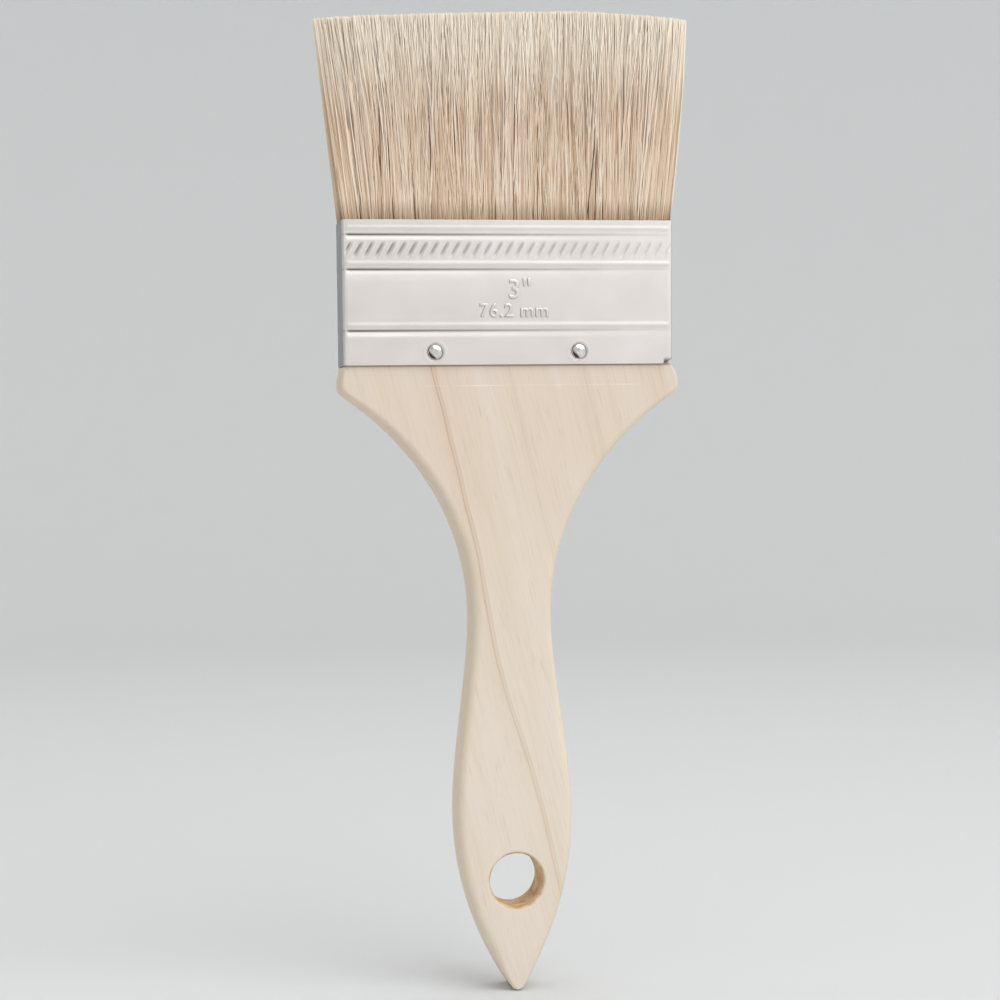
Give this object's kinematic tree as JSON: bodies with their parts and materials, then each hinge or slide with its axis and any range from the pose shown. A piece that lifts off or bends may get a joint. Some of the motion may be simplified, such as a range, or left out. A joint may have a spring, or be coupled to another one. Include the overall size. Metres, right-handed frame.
{
  "type": "chip paint brush",
  "caption": "Flat chip paint brush: natural bristles in a nailed tin-plated ferrule on a beaver-tail wooden handle with a hang hole.",
  "frame": {"origin": "middle of the hang hole, halfway through the handle's thickness", "axes": "+Z from the handle's tip to the bristles, +X across the brush, +Y through it, away from the front face"},
  "size_m": [0.0864, 0.0148, 0.2245],
  "materials": {
    "handle_wood": "sanded, unvarnished",
    "tinplate": "bright tin plate, rolled",
    "nail_wire": "bright drawn wire, domed head",
    "epoxy": "cured amber resin",
    "spacer_wood": "sawn softwood strip",
    "bristle": "natural hog bristle, blond with darker hairs"
  },
  "bodies": {
    "handle": {"handle": "handle_wood", "ferrule": "tinplate", "nail_front_left": "nail_wire", "nail_front_right": "nail_wire", "nail_back_left": "nail_wire", "nail_back_right": "nail_wire", "setting_block": "epoxy", "spacer_plug": "spacer_wood", "bristle_roots_front": "bristle", "bristle_roots_back": "bristle"},
    "bristles": {"bristles_front": "bristle", "bristles_back": "bristle"}
  },
  "joints": [
    {"name": "bristle_flex", "type": "hinge", "parent": "handle", "child": "bristles", "pos_m": [0, 0, 0.1574], "axis": [1, 0, 0], "range_deg": [-40, 40], "stiffness_Nm_per_rad": 0.5}
  ]
}
